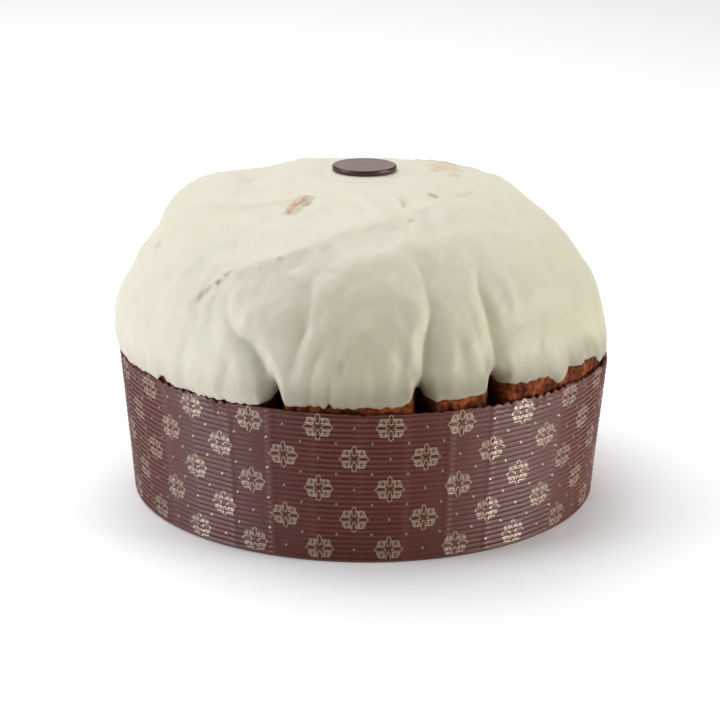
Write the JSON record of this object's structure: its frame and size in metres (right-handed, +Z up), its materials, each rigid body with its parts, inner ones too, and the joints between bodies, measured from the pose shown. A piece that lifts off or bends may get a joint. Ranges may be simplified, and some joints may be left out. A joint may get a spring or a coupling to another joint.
{
  "type": "panettone",
  "caption": "Low domed panettone with white-chocolate icing and a chocolate disc, in its round fluted paper baking case.",
  "frame": {"origin": "middle of the paper case's flat underside", "axes": "+Z up out of the case; -Y is the front, the side with the strip of bare crust to its right"},
  "size_m": [0.2157, 0.2152, 0.1425],
  "materials": {
    "paper": "matte fluted baking paper, dark brown with a pale gold print",
    "bread": "matte baked crust",
    "icing": "satin set white chocolate",
    "chocolate": "glossy dark chocolate"
  },
  "bodies": {
    "root": {"paper_case": "paper", "bread": "bread", "icing": "icing", "chocolate_disc": "chocolate"}
  },
  "joints": []
}
